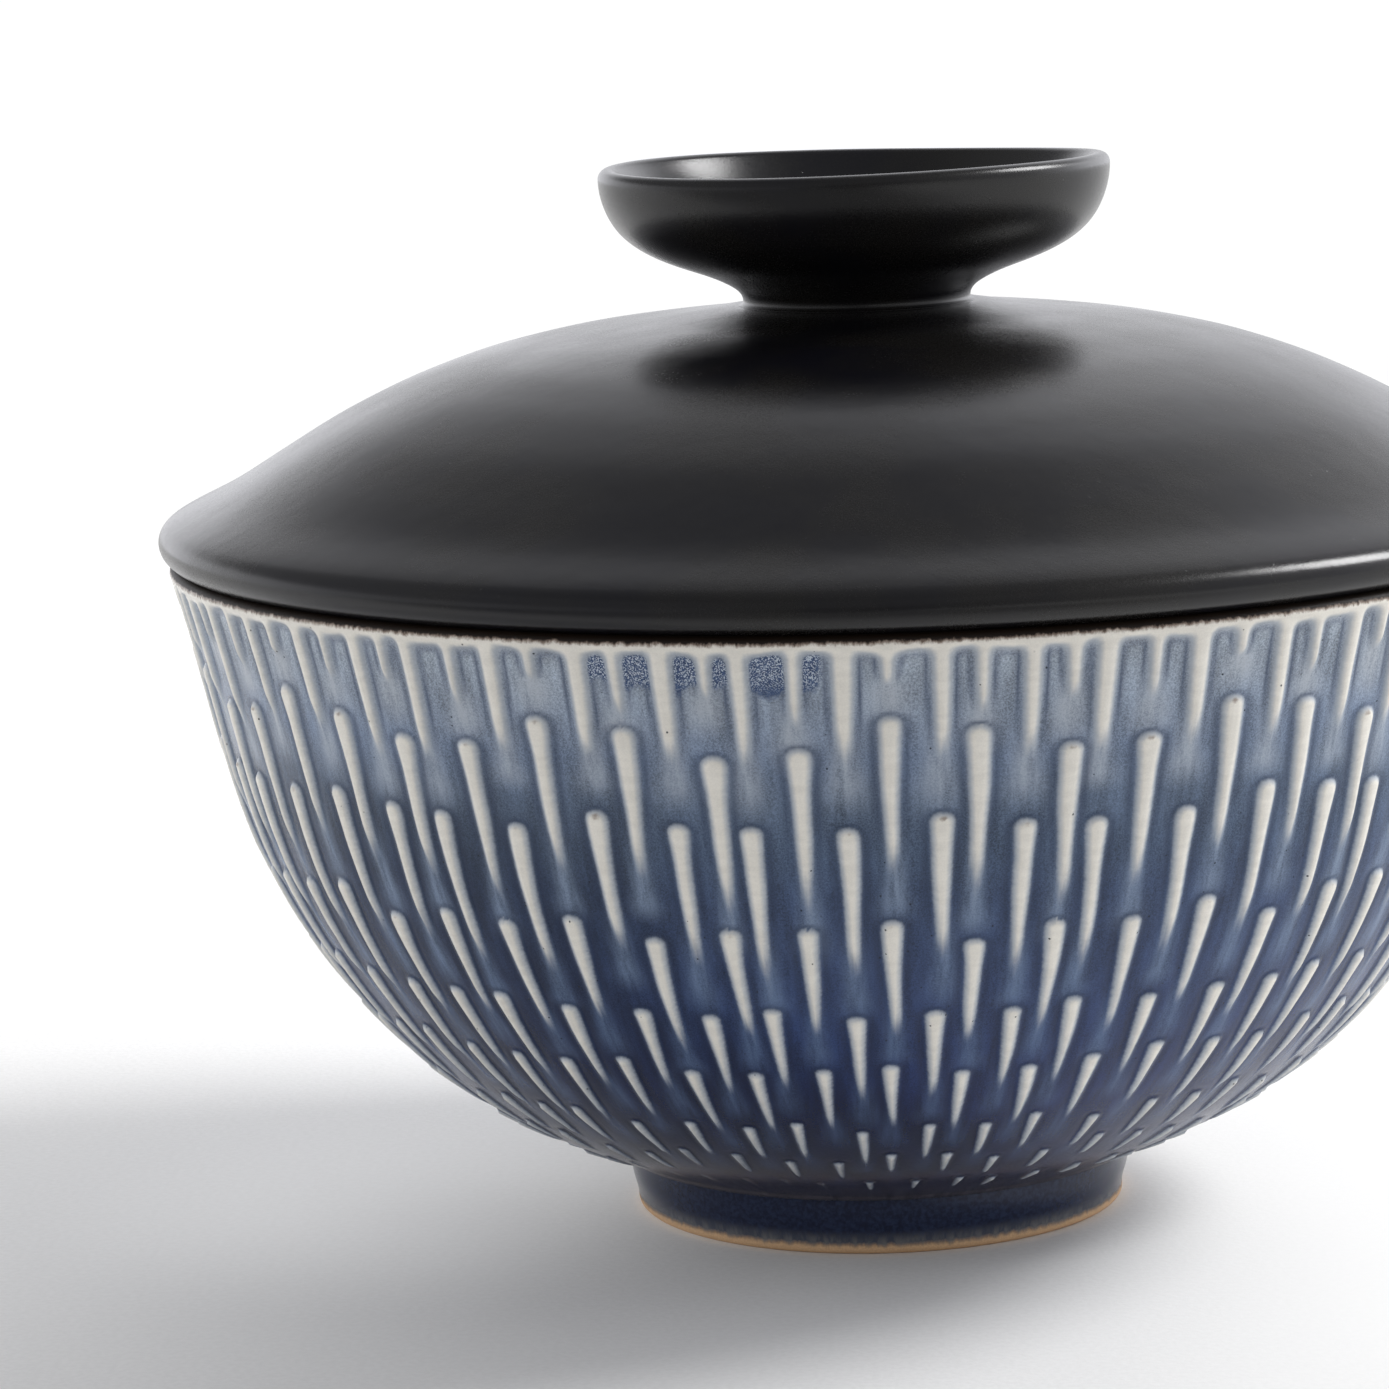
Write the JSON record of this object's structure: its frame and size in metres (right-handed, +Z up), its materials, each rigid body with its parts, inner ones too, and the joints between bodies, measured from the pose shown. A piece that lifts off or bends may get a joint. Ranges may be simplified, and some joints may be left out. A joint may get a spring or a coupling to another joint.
{
  "type": "lidded bowl",
  "caption": "Deep round stoneware bowl on a foot ring, with a domed overhanging lid, a dish-shaped knob, and raised pale slip dashes standing in rows on its blue glazed wall.",
  "frame": {"origin": "centre of the foot ring's resting face", "axes": "+Z up along the axis the pieces were turned on; +X and +Y are any two square directions, with -Y towards the side that is seen in the picture"},
  "size_m": [0.23, 0.23, 0.1724],
  "materials": {
    "blue_slip_glaze": "glossy",
    "foot_glaze": "glossy",
    "black_glaze": "satin",
    "bare_clay": "matte"
  },
  "bodies": {
    "bowl_body": {"bowl": "blue_slip_glaze", "foot_ring": "foot_glaze"},
    "lid_body": {"lid": "black_glaze", "lid_flange": "bare_clay", "knob": "black_glaze"}
  },
  "joints": [
    {"name": "lid_lift", "type": "slide", "parent": "bowl_body", "child": "lid_body", "axis": [0, 0, 1], "range_m": [0, 0.12]}
  ]
}
